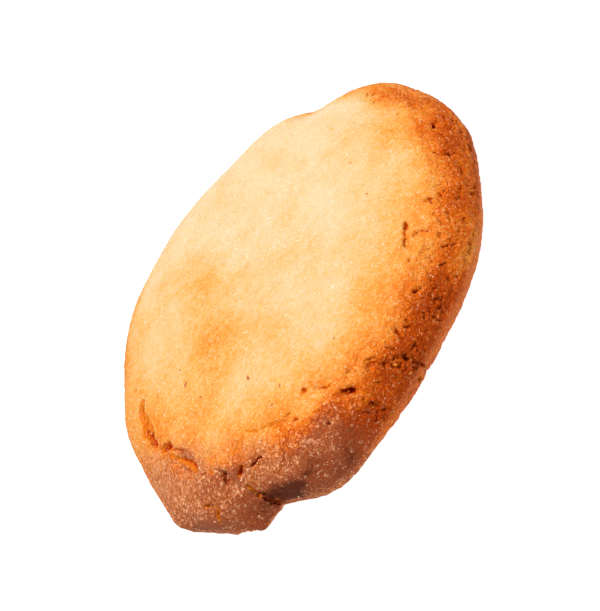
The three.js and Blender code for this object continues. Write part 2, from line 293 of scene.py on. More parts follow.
# Lumps of the crumbly wall: breadth, height and seed, and how much wider they are than high.
BIG_LUMPS = (1.9, 0.28, 5)
SMALL_LUMPS = (0.9, 0.2, 14)
LUMP_FLATTENING = 1.7

# Pinholes and small pits: place, breadth and depth.
PITS = (
    ((315.5, 0.52), 0.9, 0.5),
    ((311.6, 0.87), 0.6, 0.9),
    ((158.5, 0.41), 0.8, 0.4),
    ((172.5, 0.29), 0.7, 0.3),
    ((352.5, 0.21), 0.6, 0.2),
    ((355.6, 0.53), 0.7, 0.3),
    ((271.7, 1.48), 1.2, 0.9),
    ((262.7, 1.81), 1.2, 0.8),
)

# The pale skin of the crown ends here on the right, over the crackled wall.
SKIN_EDGE = (
    (-64.5, 0.52), (-61.4, 0.53), (-57.2, 0.55), (-53.4, 0.58), (-49.9, 0.61),
    (-47.7, 0.63), (-45.9, 0.57), (-41.5, 0.53), (-37, 0.54), (-32.1, 0.57),
    (-28.9, 0.54), (-25.9, 0.52), (-22, 0.53), (-17.8, 0.55), (-12.9, 0.55),
    (-7, 0.6), (-2.1, 0.64), (2.6, 0.7), (8.6, 0.74), (17.2, 0.78),
)

# How the crown gives way to the baked wall: at a bearing, the down where it starts to
# colour, the down where it is done, and how baked the wall is there.
BAKED = (
    (0, 0.42, 0.76, 0.76),
    (25, 0.5, 0.8, 0.72),
    (60, 0.45, 0.85, 0.7),
    (120, 0.3, 0.66, 0.66),
    (150, 0.18, 0.58, 0.6),
    (180, 0.08, 0.62, 0.62),
    (200, 0.18, 0.6, 0.68),
    (215, 0.17, 0.59, 0.78),
    (230, 0.26, 0.58, 0.72),
    (243, 0.34, 0.5, 0.72),
    (250, 0.4, 0.54, 0.8),
    (265, 0.36, 0.66, 0.84),
    (280, 0.3, 0.78, 0.92),
    (295, 0.28, 0.66, 0.88),
    (310, 0.32, 0.62, 0.86),
    (325, 0.38, 0.62, 0.86),
    (340, 0.38, 0.62, 0.9),
)

# Soft browner patches on the crown: x, y, breadth in millimetres, and how much.
BROWNER = (
    (-6, -8, 17, 0.12),
    (-11, 13, 12, 0.08),
    (-6.1, 12.1, 5, 0.12),
    (-12.8, -1.6, 5.5, 0.28),
    (-12, 6, 5, 0.1),
    (-15, -8.6, 5, 0.2),
    (-6.4, -15.8, 5, 0.12),
    (-22, -12, 5, 0.12),
    (27, -9, 7, 0.06),
)

# Patches of the wall that are more or less baked, with painted shade under the fold and in the
# front wall's grooves: place, spread both ways, and how much.
BAKED_AND_SHADED = (
    # The left and the lobe.
    ((140, 0.44), (12, 0.12), -0.14),
    ((158, 0.75), (18, 0.25), -0.13),
    ((165, 0.46), (16, 0.16), -0.14),
    ((180, 0.6), (9, 0.1), -0.1),
    ((195, 0.38), (8, 0.08), -0.05),
    ((196, 0.75), (5, 0.14), 0.07),
    ((202, 0.68), (8, 0.1), -0.1),
    ((204, 0.41), (4, 0.035), 0.22),
    ((204, 1.05), (10, 0.14), 0.16),
    ((205, 0.93), (5, 0.1), 0.06),
    ((209, 0.93), (4, 0.09), 0.2),
    ((213, 0.47), (4, 0.05), -0.06),
    # The fold and the burnt patch, with painted shade under the fold and up from the burnt patch.
    ((216, 0.96), (12, 0.16), 0.12),
    ((217, 0.33), (9, 0.08), -0.12),
    ((218, 1.33), (5, 0.2), 0.08),
    ((218.7, 0.66), (4, 0.06), -0.08),
    ((220, 0.49), (4, 0.05), -0.09),
    ((221, 0.57), (3.5, 0.05), 0.16),
    ((222.5, 1.06), (3.2, 0.22), 0.7),
    ((229, 1.25), (6, 0.2), 0.2),
    ((230, 0.63), (6, 0.1), -0.1),
    ((230, 1.02), (4, 0.1), 0.08),
    ((232, 0.42), (10, 0.08), -0.08),
    ((234.5, 0.9), (2.5, 0.08), 0.4),
    ((235, 0.9), (9, 0.14), 0.18),
    # The front wall, with painted shade down its grooves.
    ((238.5, 0.81), (3, 0.06), 0.5),
    ((240, 0.97), (4, 0.12), 0.15),
    ((241, 0.62), (4, 0.08), 0.1),
    ((242.2, 0.77), (2.2, 0.06), 0.4),
    ((242.3, 0.76), (3, 0.06), 0.06),
    ((243, 0.34), (5, 0.06), 0.07),
    ((243, 0.46), (6, 0.08), 0.06),
    ((243, 0.84), (3, 0.08), 0.12),
    ((243.5, 0.8), (1.8, 0.1), 0.2),
    ((244.8, 0.74), (1.8, 0.06), 0.3),
    ((246, 0.59), (4, 0.07), 0.08),
    ((246, 0.95), (3.5, 0.1), 0.16),
    ((246, 1.08), (4, 0.12), 0.3),
    ((247, 0.8), (3.5, 0.12), -0.14),
    ((248.4, 0.95), (2.5, 0.1), 0.2),
    ((250, 0.24), (9, 0.07), -0.07),
    ((250, 1.15), (9, 0.16), 0.16),
    ((251, 0.88), (3.5, 0.08), 0.14),
    ((252, 0.88), (7, 0.14), 0.38),
    ((253.6, 0.34), (4, 0.05), 0.15),
    ((254, 0.86), (3.5, 0.12), 0.25),
    ((254, 1.04), (5, 0.1), 0.1),
    # The crumbled corner.
    ((259, 0.82), (4, 0.09), 0.08),
    ((261, 0.74), (4, 0.08), -0.1),
    ((262, 0.55), (8, 0.08), -0.14),
    ((268, 0.24), (9, 0.07), -0.08),
    ((268, 0.57), (5, 0.06), -0.06),
    ((269, 0.53), (4, 0.05), -0.1),
    ((276, 0.57), (5, 0.1), -0.07),
    ((278, 0.61), (6, 0.07), -0.12),
    ((281, 0.5), (6, 0.07), -0.08),
    ((287, 0.74), (7, 0.12), 0.14),
    ((290, 0.56), (10, 0.09), -0.03),
    ((290, 1.4), (30, 0.2), -0.25),
    # The right side.
    ((294, 0.62), (6, 0.08), -0.12),
    ((297, 0.87), (6, 0.1), -0.05),
    ((299, 0.93), (6, 0.12), -0.14),
    ((302, 0.64), (4, 0.08), -0.07),
    ((303, 0.52), (8, 0.08), -0.08),
    ((303.5, 1.12), (6, 0.16), -0.3),
    ((308, 0.95), (10, 0.14), -0.08),
    ((309, 0.55), (6, 0.06), -0.1),
    ((313, 0.52), (8, 0.07), -0.05),
    ((320, 0.54), (7, 0.07), -0.2),
    ((326, 0.74), (9, 0.12), -0.08),
    ((330, 0.74), (6, 0.07), 0.12),
    ((333, 0.55), (7, 0.07), -0.14),
    ((336, 0.38), (7, 0.07), -0.06),
    ((337, 0.94), (14, 0.09), -0.14),
    ((346, 0.42), (9, 0.09), 0.1),
    ((352, 0.42), (10, 0.1), 0.12),
    ((2, 0.76), (10, 0.12), 0.1),
    ((6, 0.66), (14, 0.14), 0.12),
    ((6, 0.8), (10, 0.14), -0.08),
    ((26, 0.49), (10, 0.1), -0.1),
)

# Dusty patches round the cracks: place, spread both ways, and how much.
DUSTY = (
    ((204, 0.41), (4, 0.035), 0.8),
    ((221.7, 0.61), (3, 0.05), 0.9),
    ((211.4, 0.45), (1.6, 0.025), 1),
    ((215, 0.52), (6, 0.05), 0.7),
    ((232, 0.46), (7, 0.06), 0.5),
    ((188, 0.76), (11, 0.2), 0.9),
    ((209, 0.93), (4, 0.09), 0.8),
    ((170, 0.7), (10, 0.2), 0.15),
    ((214, 0.38), (16, 0.09), 0.5),
    ((195, 0.42), (8, 0.08), 0.2),
)

# Burnt patches, and painted shade under the fold and along the front wall's grooves: place, spread
# both ways, and how much.
SCORCHED_AND_SHADED = (
    ((231, 1), (5.5, 0.2), 1),
    ((236.5, 0.85), (2.8, 0.07), 0.6),
    ((241, 0.78), (3, 0.05), 0.42),
    ((249, 0.95), (5, 0.12), 0.36),
    ((222, 1.08), (3, 0.2), 0.25),
    ((252, 0.86), (3.5, 0.1), 0.12),
    ((218, 1.35), (3.5, 0.2), 0.34),
    ((205, 1), (4, 0.12), 0.34),
    ((243, 0.74), (3, 0.05), 0.12),
)


def gathered(items, name, width, kind=float):
    """One property of all the items of a mesh, as an array of rows."""
    values = np.empty(width * len(items), kind)
    items.foreach_get(name, values)
    return values.reshape(-1, width)


def store(mesh, name, values):
    """Keeps a value for each of a mesh's points, for its finish to read."""
    layer = mesh.attributes.new(name, "FLOAT", "POINT")
    layer.data.foreach_set("value", values.astype(np.float32))


def add_object(name, data):
    obj = bpy.data.objects.new(name, data)
    bpy.context.scene.collection.objects.link(obj)
    return obj


class Skin:
    """The crust's fine mesh, with the arrays that the shaping shares."""

    def __init__(self, mesh):
        self.mesh = mesh
        self.points = gathered(mesh.vertices, "co", 3)
        self.edges = gathered(mesh.edges, "vertices", 2, np.int32)
        self.joins = np.bincount(self.edges.ravel(), minlength=len(self.points))

    def smooth(self, values, times):
        """Each value drawn to the mean of its neighbours', over and over."""
        a, b = self.edges.T
        flat = values.reshape(len(values), -1).copy()
        for _ in range(times):
            for k in range(flat.shape[1]):
                column = flat[:, k]
                total = np.bincount(a, column[b], len(column)) + np.bincount(b, column[a], len(column))
                flat[:, k] = 0.5 * column + 0.5 * total / self.joins
        return flat.reshape(values.shape)

    def rounded(self, times):
        """The points with creases taken out, and broad curves kept as they are."""
        soft = self.smooth(self.points, times)
        return soft + self.smooth(self.points - soft, times)

    def put(self, points):
        """Moves the mesh to these points and gives its normals."""
        self.points = points
        self.mesh.vertices.foreach_set("co", points.ravel())
        self.mesh.update()
        return gathered(self.mesh.vertex_normals, "vector", 3)


def remeshed(node, grid):
    """A copy of a node's mesh in millimetres, remade on an even grid."""
    mesh = node.data.copy()
    mesh.transform(Matrix.Scale(1 / MM, 4) @ node.matrix_world)
    obj = add_object("grid", mesh)
    modifier = obj.modifiers.new("grid", "REMESH")
    modifier.mode, modifier.voxel_size, modifier.adaptivity = "VOXEL", grid, 0.0
    made = applied(obj)
    bpy.data.objects.remove(obj)
    return made


def applied(obj):
    """The mesh that an object's modifiers give."""
    graph = bpy.context.evaluated_depsgraph_get()
    shaped = obj.evaluated_get(graph)
    return bpy.data.meshes.new_from_object(shaped, preserve_all_data_layers=True, depsgraph=graph)


def stray_cracks():
    """Lines, widths and depths of the short cracks, like a group's rows in CRACKS."""
    rng = np.random.default_rng(41)
    rows = []
    for bearings, downs, count in STRAY_CRACKS:
        for _ in range(count):
            bearing, down = rng.uniform(*bearings), rng.uniform(*downs)
            heading, step = rng.uniform(0, math.tau), rng.uniform(*STRAY_STEPS)
            line = [(bearing, down)]
            for _ in range(STRAY_BENDS):
                heading += rng.normal() * 0.6
                bearing += math.cos(heading) * step * DEGREES_A_MM
                down += math.sin(heading) * step * DOWNS_A_MM
                line.append((bearing, down))
            rows.append((line, rng.uniform(*STRAY_WIDTHS), rng.uniform(*STRAY_DEPTHS)))
    return tuple(rows)


def crack_samples(places, line, width, depth, number):
    """Points close together along a crack, each with its half width and depth."""
    points = [places.point(*place)[0] for place in line]
    samples = []
    for start, end in zip(points, points[1:]):
        count = max(2, round((end - start).length / CRACK_STEP))
        samples += [start.lerp(end, k / count) for k in range(count)]
    samples.append(points[-1])
    rows = []
    for k, point in enumerate(samples):
        # It strays, gapes unevenly, and closes towards both ends.
        beat = k * CRACK_STEP
        stray = noise.noise_vector((1.4 * beat, number, 0.5)) * CRACK_WANDER
        ends = min(1, (k + 1) / 4, (len(samples) - k) / 4)
        gape = ends * (1 + 0.5 * noise.noise((0.9 * beat, number, 4.5)))
        rows.append((point + stray, 0.5 * width * gape, depth * gape))
    return rows


def carve(points, rows):
    """For each point, how deep the cracks run there and how far it is within a crack, and
    within a crack's bottom, where shade is painted."""
    tree = KDTree(len(rows))
    for k, row in enumerate(rows):
        tree.insert(row[0], k)
    tree.balance()
    near = np.array([tree.find(point)[2] < CRACK_REACH for point in points.tolist()])
    near = np.nonzero(near)[0]
    strays = CRACK_RAGGED * field(points[near], 0.45, 21)
    cut = np.zeros(len(points))
    within, core = np.full(len(points), -CRACK_REACH), np.full(len(points), -CRACK_REACH)
    for i, stray in zip(near, strays):
        point = Vector(points[i])
        # The upper lip leans out over the crack and shades it, so the shade painted at its bottom lies
        # towards that side.
        inward = -Vector((point.x, point.y, 0)).normalized()
        for middle, k, away in tree.find_range(point, CRACK_REACH):
            _, half, depth, bared, dark = rows[k]
            inside = half - max(0, away + stray)
            within[i] = max(within[i], inside - (1 - bared) * half)
            leant = (point - middle - inward * (0.3 * half)).length
            core[i] = max(core[i], dark * half + 0.1 * min(1, 1.5 * depth) - leant)
            if inside > 0:
                cut[i] = max(cut[i], depth * (inside / half) ** 0.6)
    return cut, within, core


def skin_edge(bearings):
    """Down at which the crown's smooth skin stops, for each bearing."""
    at, down = np.array(SKIN_EDGE).T
    return np.interp(off(bearings, 0), at, down)


def zone(bearing, at, before, after):
    """1 round a bearing, fading out between these signed degrees from it."""
    away = off(bearing, at)
    return rise(away, *before) * (1 - rise(away, *after))


def spots(bearing, down, rows):
    """The sum of patches that fade away from their places, each as strong as its row says."""
    total = np.zeros(len(bearing))
    for at, spread, by in rows:
        total += by * np.exp(-((off(bearing, at[0]) / spread[0]) ** 2) - ((down - at[1]) / spread[1]) ** 2)
    return total


def round_spots(points, rows):
    """The sum of round patches seen from above: x, y, breadth and how much."""
    total = np.zeros(len(points))
    for x, y, breadth, by in rows:
        away = np.hypot(points[:, 0] - x, points[:, 1] - y) / breadth
        total += by * np.exp(-away * away)
    return total


class Zones:
    """Where on the crust each kind of surface lies, as a share at each point."""

    def __init__(self, points, normals, bearing, down):
        # The flat underside, the wall, and the right side, where the skin ends in a ragged edge.
        self.under = rise(-normals[:, 2], 0.75, 0.95) * rise(-points[:, 2], -1.0, -0.4)
        self.wall = rise(down, 0.45, 0.72) * (1 - self.under)
        self.right = zone(bearing, *RIGHT_SIDE)
        ragged = 0.03 * field(points, 2.2, 31, 2) + 0.01 * field(points, 0.7, 33, 2)
        self.past_skin = rise(down - skin_edge(bearing) + ragged, -0.008, 0.014)
        # The right side past the skin is crumbly, and so are the corner and patches elsewhere.
        corner = zone(bearing, *CRUMBLED_CORNER) * rise(down, 0.5, 0.6)
        patches = self.wall * rise(field(points, 16, 3), -0.1, 0.3) * (1 - zone(bearing, *SMOOTH_FRONT))
        broken = np.maximum.reduce([self.right * self.past_skin, corner, 0.7 * patches])
        self.crumbly = np.clip(broken, 0, 1) * (1 - self.under)
        # How far a point faces the front, then the duller brown, the ruddy base, and the burnt fold
        # with painted shade under it and down the grooves beside it.
        self.front = 0.5 + 0.5 * np.cos(np.radians(off(bearing, FRONT)))
        lobe = zone(bearing, *DULL_LOBE) * rise(down, 0.42, 0.62)
        self.ashen = (0.8 * lobe + spots(bearing, down, DUSTY)) * (1 - self.under)
        # The ruddy band along the base is partly painted light thrown up from the floor.
        self.ruddy = rise(down, 1.02, 1.3) * zone(bearing, *RUDDY_AND_FLOOR_LIT_BASE) * (1 - self.under)
        self.scorched = spots(bearing, down, SCORCHED_AND_SHADED)


def browning(points, bearing, down, zones):
    """How baked each point is: 0 is the palest skin and 1 the darkest wall."""
    crown = 0.05 + 0.34 * rise(down, 0.08, 0.36) * zones.front
    crown += round_spots(points, BROWNER)
    at, begins, ends, shade = np.array(BAKED).T
    begins, ends, shade = (np.interp(bearing, at, row, period=360) for row in (begins, ends, shade))
    strayed = down + 0.035 * field(points, 5, 32, 2)
    baked = rise(strayed, begins, ends)
    # Inside the skin's edge the wall's colour only begins to show.
    baked *= 1 - zones.right * (1 - zones.past_skin) * 0.25
    # Past it the wall is bared at once, and is browner further down.
    further = 0.66 + 0.29 * rise(down - skin_edge(bearing), 0.03, 0.3)
    bared = zones.right * zones.past_skin
    baked += bared * (further - baked)
    brown = crown + (shade - crown) * baked
    # The patches add browning, and painted shade under the fold and in the front wall's grooves.
    brown += spots(bearing, down, BAKED_AND_SHADED) + 0.07 * field(points, 7, 11, 2)
    # The underside is golden, and browner towards its edge.
    outward = rise(np.hypot(points[:, 0], points[:, 1]), 22, 35)
    below = 0.54 + 0.14 * outward + 0.1 * field(points, 9, 12, 2)
    return np.clip(brown + zones.under * (below - brown), 0, 1.3)


def nodules(points, breadth, height, seed):
    """Rounded lumps with creases between them, about 0 on average."""
    moved = points / breadth + np.array((5.13, 9.71, 2.37)) * seed
    away = np.array([noise.voronoi(place)[0][0] for place in moved.tolist()])
    return height * (0.35 - away * away)


def build_crust(settings):
    skin = Skin(remeshed(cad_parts[NODE], settings.grid / MM))
    solid = skin.points
    plain = skin.rounded(settings.rounding)
    normals = skin.put(plain)
    # The solid's own cracks and lumps stay sharp: only what rounding moved little is rounded.
    # Its cracks are made shallower, since finer ones are carved along them.
    moved = np.einsum("ij,ij->i", plain - solid, normals)
    kept = rise(np.abs(moved), *KEPT_SHARP) * np.where(moved > 0, settings.solid_cracks, 1.0)
    points = plain + (solid - plain) * kept[:, None]
    broad = skin.smooth(plain, 3 * settings.rounding)
    hollow = np.clip(np.einsum("ij,ij->i", broad - points, normals), 0, None)

    faces = [tuple(face.vertices) for face in skin.mesh.polygons]
    places = Places(BVHTree.FromPolygons(points.tolist(), faces), 1.0)
    bearing, down = places.of(points)
    zones = Zones(points, normals, bearing, down)
    flattened = points * np.array((1, 1, LUMP_FLATTENING))
    rough = 0.15 * zones.wall + 0.85 * zones.crumbly
    lift = 0.09 * field(points, 4.2, 1, 2) + (0.03 + 0.05 * zones.wall) * field(points, 0.9, 2, 3)
    bent = flattened + 0.5 * np.stack([field(points, 1.3, seed, 2) for seed in (8, 9, 10)], 1)
    patchy = rise(field(points, 3.5, 15, 2), -0.5, 0.5)
    lift += rough * (patchy * nodules(bent, *BIG_LUMPS) + nodules(bent, *SMALL_LUMPS))
    # The skin lies on the crackled wall like an edge of icing.
    lift += spots(bearing, down, SWELLINGS) - 0.14 * zones.right * zones.past_skin

    # Without a seed of its own, the wander would differ from one run to the next.
    noise.seed_set(WANDER_SEED)
    rows = []
    # Each sample keeps its group's shares: the bared crumb, and the painted shade at its bottom.
    for group, bared, dark, share in (*CRACKS, (stray_cracks(), *STRAY_SHARES)):
        for line, width, depth in group:
            samples = crack_samples(places, line, width, share * depth, len(rows))
            rows += [(*sample, bared, dark) for sample in samples]
    opened, within, core = carve(points, rows)
    within = np.maximum(within, moved - 0.2)
    for place, breadth, depth in PITS:
        centre = np.array(places.point(*place)[0])
        away = np.linalg.norm(points - centre, axis=1)
        opened = np.maximum(opened, depth * (1 - rise(2 * away / breadth, 0.2, 1)))
        within = np.maximum(within, 0.5 * breadth - away)

    # The underside stays nearly flat.
    lift *= 1 - 0.7 * zones.under
    points = points + normals * (lift - settings.crack_depth * opened)[:, None]
    points[:, 2] = np.maximum(points[:, 2], 0.0)
    skin.put(points)

    store(skin.mesh, "browning", browning(points, bearing, down, zones))
    # How deep in a hollow or crack each point lies, which the finish paints crumb and shade by.
    store(skin.mesh, "hollow", hollow + opened)
    store(skin.mesh, "within", within)
    store(skin.mesh, "core", core)
    for name in ("crumbly", "ashen", "ruddy", "scorched"):
        store(skin.mesh, name, getattr(zones, name))
    return lightened(skin.mesh, settings.triangles, rise(within, -CRACK_REACH, -0.3))


def lightened(mesh, triangles, kept):
    """The mesh brought down to a number of triangles, least where kept is 1, in metres."""
    obj = add_object("light", mesh)
    plain = obj.vertex_groups.new(name="plain")
    for share in range(5):
        chosen = np.nonzero(np.round(4 * (1 - kept)) == share)[0]
        plain.add(chosen.tolist(), max(share / 4, 0.01), "REPLACE")
    now = sum(len(p.vertices) - 2 for p in mesh.polygons)
    modifier = obj.modifiers.new("light", "DECIMATE")
    modifier.ratio = min(1.0, triangles / now)
    modifier.vertex_group = plain.name
    made = applied(obj)
    bpy.data.objects.remove(obj)
    made.transform(Matrix.Scale(MM, 4))
    made.polygons.foreach_set("use_smooth", [True] * len(made.polygons))
    made.update()
    return made


# ---- finishes --------------------------------------------------------------------------


def arithmetic(operation, reflected=False):
    """A method that adds a Math node for a wire and another value."""

    def method(self, other):
        first, second = (other, self) if reflected else (self, other)
        return self.paint.node("ShaderNodeMath", {"operation": operation}, {0: first, 1: second})

    return method


class Wire:
    """A number on its way through a material's nodes. Arithmetic on it adds Math nodes."""

    __add__, __radd__ = arithmetic("ADD"), arithmetic("ADD", True)
    __sub__, __rsub__ = arithmetic("SUBTRACT"), arithmetic("SUBTRACT", True)
    __mul__, __rmul__ = arithmetic("MULTIPLY"), arithmetic("MULTIPLY", True)

    def __init__(self, paint, socket):
        self.paint, self.socket = paint, socket

    def rise(self, low, high):
        """Smoothly from 0 at low to 1 at high."""
        return self.paint.node(
            "ShaderNodeMapRange",
            {"interpolation_type": "SMOOTHSTEP"},
            {"Value": self, "From Min": low, "From Max": high},
        )


class Paint:
    """A material whose nodes are added one by one."""

    def __init__(self, name):
        self.material = bpy.data.materials.new(name)
        self.material.use_nodes = True
        self.tree = self.material.node_tree
        self.tree.nodes.clear()
        self.surface = self.tree.nodes.new("ShaderNodeBsdfPrincipled")
        output = self.tree.nodes.new("ShaderNodeOutputMaterial")
        self.tree.links.new(self.surface.outputs["BSDF"], output.inputs["Surface"])

    def feed(self, socket, value):
        if isinstance(value, Wire):
            self.tree.links.new(value.socket, socket)
        else:
            socket.default_value = value

    def node(self, kind, settings=None, inputs=None, output=0):
        """Adds a node and gives one of its outputs."""
        made = self.tree.nodes.new(kind)
        for name, value in (settings or {}).items():
            if name == "stops":
                self.set_stops(made.color_ramp, value)
            else:
                setattr(made, name, value)
        for name, value in (inputs or {}).items():
            self.feed(made.inputs[name], value)
        return Wire(self, made.outputs[output])

    @staticmethod
    def set_stops(ramp, stops):
        while len(ramp.elements) < len(stops):
            ramp.elements.new(1.0)
        for element, (position, colour) in zip(ramp.elements, stops):
            element.position, element.color = position, (*colour, 1.0)

    def finish(self, **inputs):
        """Sets the surface's own sockets, named with _ for a space."""
        for name, value in inputs.items():
            self.feed(self.surface.inputs[name.replace("_", " ")], value)
        return self.material

    def layer(self, name):
        return self.node("ShaderNodeAttribute", {"attribute_name": name}, output="Fac")

    def mottle(self, place, wavelength, detail=2.0, roughness=0.5):
        """Noise about 0, with a wavelength in millimetres."""
        inputs = {"Vector": place, "Scale": 1 / (wavelength * MM), "Detail": detail, "Roughness": roughness}
        return self.node("ShaderNodeTexNoise", inputs=inputs) - 0.5

    def cells(self, place, breadth):
        """A steady random number, -0.5 to 0.5, for each grain of this breadth in millimetres."""
        inputs = {"Vector": place, "Scale": 1 / (breadth * MM)}
        cell = self.node("ShaderNodeTexVoronoi", inputs=inputs, output="Color")
        return self.node("ShaderNodeSeparateColor", inputs={"Color": cell}) - 0.5

    def pebbles(self, place, breadth):
        """Rounded grains of this breadth in millimetres: 0 at their joints and 1 on top."""
        size = breadth * MM
        inputs = {"Vector": place, "Scale": 1 / size}
        bent = self.node("ShaderNodeTexNoise", inputs=inputs, output="Color")
        inputs = {0: bent, 1: (size,) * 3, 2: place}
        moved = self.node("ShaderNodeVectorMath", {"operation": "MULTIPLY_ADD"}, inputs)
        settings, inputs = {"feature": "DISTANCE_TO_EDGE"}, {"Vector": moved, "Scale": 1 / size}
        return self.node("ShaderNodeTexVoronoi", settings, inputs, output="Distance").rise(0.0, 0.35)

    def mix(self, share, first, second, blend="MIX"):
        """One colour over another, by a share from 0 to 1."""
        pair = [value if isinstance(value, Wire) else (*value, 1.0) for value in (first, second)]
        settings = {"data_type": "RGBA", "blend_type": blend, "clamp_factor": True}
        return self.node("ShaderNodeMix", settings, {0: share, 6: pair[0], 7: pair[1]}, output=2)

    def bump(self, height):
        """A normal from a height in millimetres."""
        return self.node("ShaderNodeBump", inputs={"Height": height, "Distance": MM, "Strength": 1.0})


def crust_finish(colours):
    paint = Paint("baked crust")
    place = paint.node("ShaderNodeTexCoord", output="Object")
    baked, hollow = paint.layer("browning"), paint.layer("hollow")
    crumbly, ashen = paint.layer("crumbly"), paint.layer("ashen")

    cloud = paint.mottle(place, 5.0, 3.0)
    freckle = paint.mottle(place, 1.3, 3.0, 0.6)
    grain = paint.mottle(place, 0.55, 3.0, 0.7)
    coarse, fine = paint.cells(place, 0.45), paint.cells(place, 0.26)
    pebbles, gravel = paint.pebbles(place, 0.7), paint.pebbles(place, 0.38)
    inside = (paint.layer("within") + 0.32 * grain + 0.14 * fine).rise(-0.02, 0.1)
    # Painted shade at the narrow bottoms of cracks, towards the side under the upper lip.
    core = (paint.layer("core") + 0.12 * grain + 0.05 * fine).rise(-0.02, 0.07)
    pores = (paint.mottle(place, 1.1, 2.0) + 0.35 * grain + 0.25 * cloud).rise(0.16, 0.3)
    sandy = 0.6 + 0.7 * baked
    height = 0.14 * freckle + sandy * (0.17 * grain + 0.05 * coarse + 0.03 * fine)
    height = height - 0.06 * core - 0.05 * pores + (0.03 + 0.06 * baked + 0.07 * crumbly) * pebbles
    height = height + (0.02 + 0.06 * baked) * gravel

    speckle = (0.2 + 0.26 * baked) * freckle - (0.17 + 0.2 * baked) * grain
    speckle = speckle - (0.1 + 0.1 * baked) * coarse - (0.07 + 0.09 * baked) * fine
    speckle = speckle - 0.2 * baked * (pebbles - 0.5) - (0.28 - 0.1 * crumbly) * baked * (gravel - 0.5)
    shade = 1.07 * baked + 0.3 * cloud + (1 - 0.35 * crumbly) * speckle
    stops = [(k / 5, getattr(colours, name)) for k, name in enumerate(BAKES)]
    colour = paint.node("ShaderNodeValToRGB", {"stops": stops}, {"Fac": shade})
    colour = paint.mix(pores * (0.3 - 0.25 * baked), colour, colours.amber)
    dust = 0.9 * freckle + 1.3 * grain + 0.6 * coarse + 0.5 * fine + 0.4 * gravel - 1.5 * (baked - 0.7)
    dusty = paint.mix(dust.rise(-0.2, 0.5), colours.sooty, colours.ashen)
    colour = paint.mix((ashen + 0.9 * freckle).rise(0.1, 0.9) * 0.75, colour, dusty)
    # A ruddier, lighter band along the base: its smooth skin, and painted light thrown up from the floor.
    colour = paint.mix(paint.layer("ruddy") * 0.6, colour, colours.ruddy)
    # Light grains: sugar in the crust, and painted glints of its crystals.
    light = (0.9 * fine + 0.3 * coarse + 0.8 * grain - 0.1 * baked).rise(0.2, 0.5)
    colour = paint.mix(light * (0.3 + 0.02 * baked + 0.4 * ashen), colour, colours.sugar_and_glint)
    dark = (-0.6 * coarse - 0.5 * fine - 1.0 * grain - 0.4 * freckle).rise(0.35, 0.65)
    colour = paint.mix(dark * (baked - 0.1).rise(0.0, 0.8) * 0.4, colour, colours.deep)
    # Inside the cracks the crumb shows; further down it is painted darker and redder, as shade.
    depths = [(0.3, colours.crumb), (0.75, colours.crumb_in_shade), (1.0, colours.crack_bottom_shade)]
    opened = paint.node("ShaderNodeValToRGB", {"stops": depths}, {"Fac": hollow - 0.9 * grain})
    colour = paint.mix(inside * 0.85, colour, opened)
    # The deepest parts of the cracks are painted dark, as shade.
    deep_crack_shade = (hollow - 0.6 * grain).rise(0.4, 0.9)
    colour = paint.mix(deep_crack_shade * 0.75, colour, colours.crack_bottom_shade)
    # The cracks' narrow bottoms are darkened: painted shade.
    colour = paint.mix(core * 0.85, colour, colours.shaded, "MULTIPLY")
    # The burnt patch, and painted shade under the fold and along the front wall's grooves.
    scorched = (paint.layer("scorched") - 0.6 * freckle - 0.4 * grain - 0.15 * coarse).rise(0.2, 0.65)
    colour = paint.mix(scorched * 0.96, colour, colours.scorched)
    colour = paint.mix(scorched * light * 0.5, colour, colours.sooty)

    return paint.finish(
        Base_Color=colour,
        Roughness=0.6 + 0.4 * grain,
        Normal=paint.bump(height),
        Subsurface_Weight=0.3,
        Subsurface_Radius=(1.0, 0.4, 0.15),
        Subsurface_Scale=0.8 * MM,
        IOR=1.45,
        Specular_IOR_Level=0.04,
    )


def sugar_finish(colours):
    """Clear crystals, which show the colour of the crust that they lie on, with a faint painted glow for
    their glints.
    """
    paint = Paint("sugar")
    seen = paint.layer("browning").rise(0.3, 0.75)
    colour = paint.mix(seen, colours.sugar, colours.toffee)
    # The faint glow is a painted glint.
    return paint.finish(Base_Color=colour, Roughness=0.25, Emission_Color=colour, Emission_Strength=0.1)


def grain_finish(name, colour, roughness):
    paint = Paint(name)
    place = paint.node("ShaderNodeTexCoord", output="Object")
    darker = tuple(0.7 * c for c in colour)
    varied = paint.mix(paint.cells(place, 0.5) + 0.5, darker, colour)
    return paint.finish(
        Base_Color=varied,
        Roughness=roughness,
        Specular_IOR_Level=0.1,
        Subsurface_Weight=0.2,
        Subsurface_Scale=0.3 * MM,
    )


# ---- sugar, flecks and crumbs ----------------------------------------------------------


def rough_stone(rng, corners, flat):
    """Corners and triangles of an angular grain about 1 across."""
    mesh = bmesh.new()
    for _ in range(corners):
        direction = rng.normal(size=3)
        direction /= np.linalg.norm(direction)
        mesh.verts.new(direction * (0.5, 0.5, 0.5 * flat))
    hull = bmesh.ops.convex_hull(mesh, input=mesh.verts)
    loose = [v for v in hull["geom_interior"] + hull["geom_unused"] if isinstance(v, bmesh.types.BMVert)]
    bmesh.ops.delete(mesh, geom=list(set(loose)), context="VERTS")
    bmesh.ops.recalc_face_normals(mesh, faces=mesh.faces)
    mesh.verts.index_update()
    points = np.array([v.co for v in mesh.verts])
    faces = np.array([[v.index for v in f.verts] for f in mesh.faces])
    mesh.free()
    return points, faces


def grains_mesh(name, seats):
    """One mesh of many grains; a seat is a stone, its size, turn and middle."""
    points, faces, start = [], [], 0
    for (corners, sides), size, turn, middle in seats:
        spun = corners @ np.array(turn.to_matrix()).T
        points.append(spun * size + np.array(middle))
        faces.append(sides + start)
        start += len(corners)
    mesh = bpy.data.meshes.new(name)
    mesh.from_pydata((np.concatenate(points) * MM).tolist(), [], np.concatenate(faces).tolist())
    mesh.update()
    return mesh


